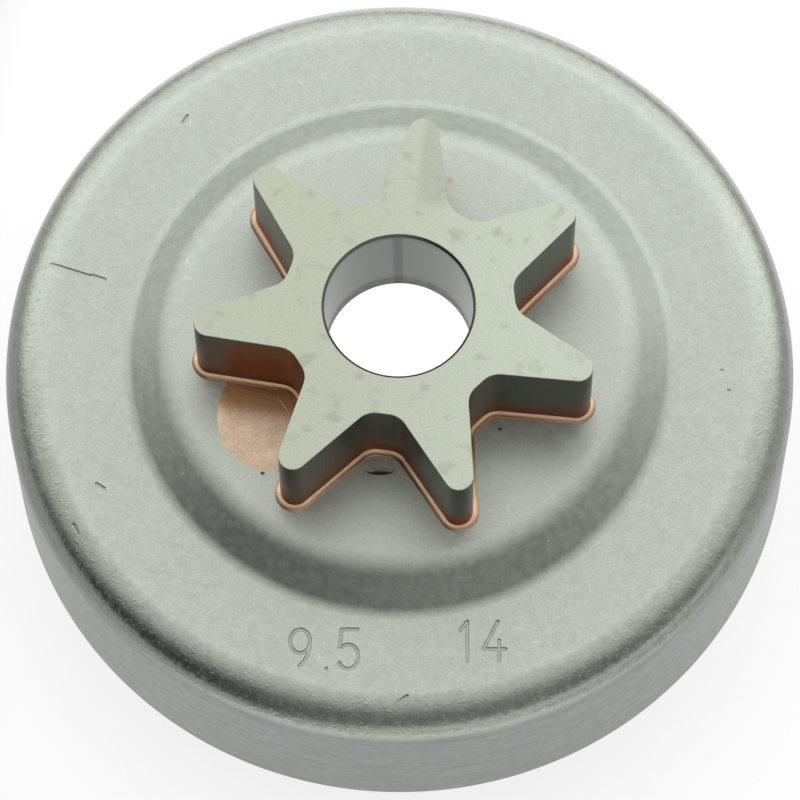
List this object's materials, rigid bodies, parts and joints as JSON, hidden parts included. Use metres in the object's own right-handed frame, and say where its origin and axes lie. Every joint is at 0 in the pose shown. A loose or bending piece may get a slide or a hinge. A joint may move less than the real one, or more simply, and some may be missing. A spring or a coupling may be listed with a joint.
{
  "type": "spur sprocket clutch drum",
  "caption": "Drawn steel clutch drum with a star-shaped spur sprocket brazed on top and a plain bearing bore, which drives a saw chain from a centrifugal clutch.",
  "frame": {"origin": "centre of the drum's open rim, on the plane that the rim rests on", "axes": "+Z along the bore from the open rim to the sprocket, +Y through the middle of one tooth"},
  "size_m": [0.076, 0.076, 0.0322],
  "materials": {
    "drum_steel": "satin, tumbled",
    "sprocket_steel": "satin, ground",
    "braze_copper": "matt copper braze"
  },
  "bodies": {
    "root": {"clutch_drum": "drum_steel", "spur_sprocket": "sprocket_steel", "braze": "braze_copper"}
  },
  "joints": []
}
